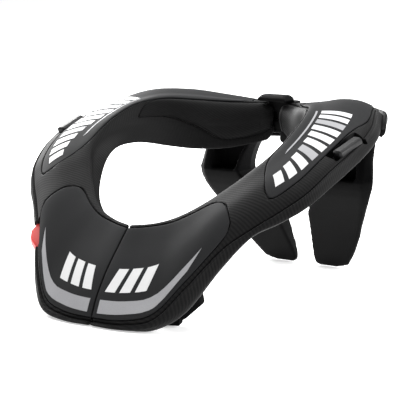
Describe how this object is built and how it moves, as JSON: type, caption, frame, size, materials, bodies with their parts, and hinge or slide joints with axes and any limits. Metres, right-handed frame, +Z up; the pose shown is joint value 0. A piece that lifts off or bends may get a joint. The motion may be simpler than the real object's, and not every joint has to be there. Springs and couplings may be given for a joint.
{
  "type": "motocross neck brace",
  "caption": "Padded neck brace in two halves hinged at the back, with inset chest and shoulder panels, strap hooks, a release tab and a wishbone stabiliser.",
  "frame": {"origin": "middle of the bounding box on the plane that the front padding and the stabiliser's tips rest on", "axes": "+X to the wearer's left, +Y to the wearer's back, +Z up"},
  "size_m": [0.2834, 0.2446, 0.1388],
  "materials": {
    "ribbed_fabric": "fine ribbed black cloth over foam",
    "matte_panel": "matte charcoal sheet with light printed stripes",
    "black_plastic": "moulded black plastic, slightly rough",
    "red_plastic": "moulded red plastic, half gloss",
    "steel": "turned steel pin"
  },
  "bodies": {
    "stabiliser": {"rear_stabiliser": "black_plastic", "hinge_block": "black_plastic", "hinge_pin_left": "steel", "hinge_pin_right": "steel"},
    "left_half": {"foam_frame_left": "ribbed_fabric", "chest_panel_left": "matte_panel", "shoulder_panel_left": "matte_panel", "inner_pad_left": "ribbed_fabric", "strap_hook_left": "black_plastic", "hinge_arm_left": "black_plastic", "rear_shell_left": "black_plastic", "front_latch": "black_plastic"},
    "right_half": {"foam_frame_right": "ribbed_fabric", "chest_panel_right": "matte_panel", "shoulder_panel_right": "matte_panel", "inner_pad_right": "ribbed_fabric", "strap_hook_right": "black_plastic", "hinge_arm_right": "black_plastic", "rear_shell_right": "black_plastic"},
    "tab": {"release_tab": "red_plastic"}
  },
  "joints": [
    {"name": "left_hinge", "type": "hinge", "parent": "stabiliser", "child": "left_half", "pos_m": [0.0062, 0.0997, 0.1186], "axis": [0, 0, 1], "range_deg": [0, 20]},
    {"name": "right_hinge", "type": "hinge", "parent": "stabiliser", "child": "right_half", "pos_m": [-0.0062, 0.0997, 0.1186], "axis": [0, 0, -1], "range_deg": [0, 20]},
    {"name": "tab_press", "type": "slide", "parent": "right_half", "child": "tab", "axis": [0.7228, 0.691, -0.0132], "range_m": [0, 0.0025], "stiffness_N_per_m": 600, "springref_m": -0.003}
  ]
}
